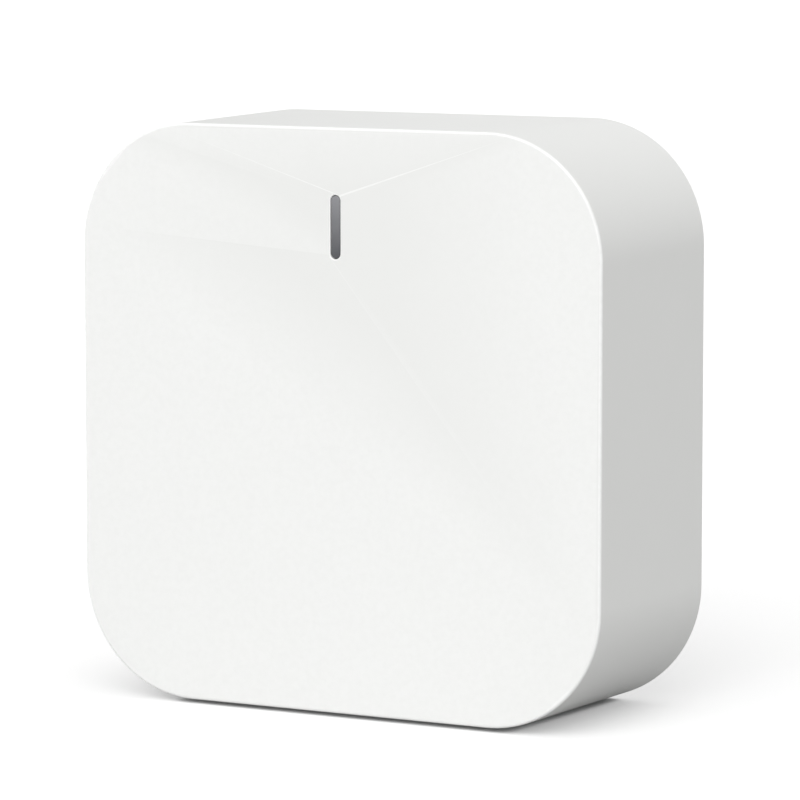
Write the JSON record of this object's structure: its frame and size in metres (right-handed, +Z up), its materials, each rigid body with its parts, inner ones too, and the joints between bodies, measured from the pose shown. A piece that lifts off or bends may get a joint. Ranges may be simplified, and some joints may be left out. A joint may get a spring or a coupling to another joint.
{
  "type": "smart home hub",
  "caption": "Upright square smart home hub with rounded corners, a slim status light in its flat front, and network, power and pairing controls in its back.",
  "frame": {"origin": "on the desk, under the middle of the case's width and depth", "axes": "+X to the right seen from the front, the front face looks along -Y, +Z up"},
  "size_m": [0.096, 0.0374, 0.0961],
  "materials": {
    "case_plastic": "finely textured white moulded plastic, soft satin",
    "smoked_lens": "smoked translucent plastic, smooth",
    "black_plastic": "black moulded plastic, fine grain",
    "foot_rubber": "grey silicone rubber, matte",
    "label_film": "blank label film, matte",
    "board_laminate": "green solder mask over glass laminate",
    "module_laminate": "blue solder mask over glass laminate",
    "chip_resin": "black moulding resin, matte",
    "ferrite": "dark grey pressed ferrite powder",
    "led_resin": "phosphor-filled clear resin",
    "thermal_pad": "soft filled silicone",
    "coax_sheath": "smooth black fluoropolymer sheath",
    "aluminium": "extruded aluminium, clear anodised",
    "tinned_steel": "tin-plated stamped sheet",
    "plated_steel": "bright zinc plate",
    "black_screw": "black oxide steel",
    "gold_plate": "gold flash over copper alloy"
  },
  "bodies": {
    "housing": {"front_shell": "case_plastic", "rear_cover": "case_plastic", "indicator_lens": "smoked_lens", "light_sleeve": "black_plastic", "ethernet_housing": "black_plastic", "usb_tongue": "black_plastic", "switch_body": "black_plastic", "wifi_antenna": "black_plastic", "mesh_antenna": "black_plastic", "foot_left": "foot_rubber", "foot_right": "foot_rubber", "rating_label": "label_film", "main_board": "board_laminate", "wifi_board": "module_laminate", "mesh_board": "module_laminate", "processor": "chip_resin", "memory_chip": "chip_resin", "flash_chip": "chip_resin", "ethernet_transformer": "chip_resin", "ethernet_controller": "chip_resin", "power_inductor_1": "ferrite", "power_inductor_2": "ferrite", "status_led_1": "led_resin", "status_led_2": "led_resin", "status_led_3": "led_resin", "thermal_pad": "thermal_pad", "wifi_lead": "coax_sheath", "mesh_lead": "coax_sheath", "heat_sink": "aluminium", "bulk_capacitor_1": "aluminium", "bulk_capacitor_2": "aluminium", "ethernet_shield": "tinned_steel", "usb_shell": "tinned_steel", "clock_crystal": "tinned_steel", "wifi_shield": "tinned_steel", "mesh_shield": "tinned_steel", "ballast_plate": "plated_steel", "ballast_screw_left": "plated_steel", "ballast_screw_right": "plated_steel", "heat_sink_screw_left": "plated_steel", "heat_sink_screw_right": "plated_steel", "board_screw_top_left": "plated_steel", "board_screw_top_right": "plated_steel", "board_screw_bottom_right": "plated_steel", "board_screw_bottom_left": "plated_steel", "cover_screw_top_left": "black_screw", "cover_screw_top_right": "black_screw", "cover_screw_bottom_right": "black_screw", "cover_screw_bottom_left": "black_screw", "ethernet_contacts": "gold_plate", "wifi_socket": "gold_plate", "wifi_lead_plug": "gold_plate", "mesh_socket": "gold_plate", "mesh_lead_plug": "gold_plate"},
    "button": {"pairing_button": "case_plastic"},
    "plunger": {"switch_plunger": "black_plastic"}
  },
  "joints": [
    {"name": "button_press", "type": "slide", "parent": "housing", "child": "button", "axis": [0, -1, 0], "range_m": [0, 0.0005], "stiffness_N_per_m": 1500, "springref_m": -0.0002},
    {"name": "plunger_press", "type": "slide", "parent": "housing", "child": "plunger", "axis": [0, -1, 0], "range_m": [0, 0.0003]}
  ],
  "couplings": [
    {"joint": "plunger_press", "follows": "button_press", "ratio": 0.6}
  ]
}
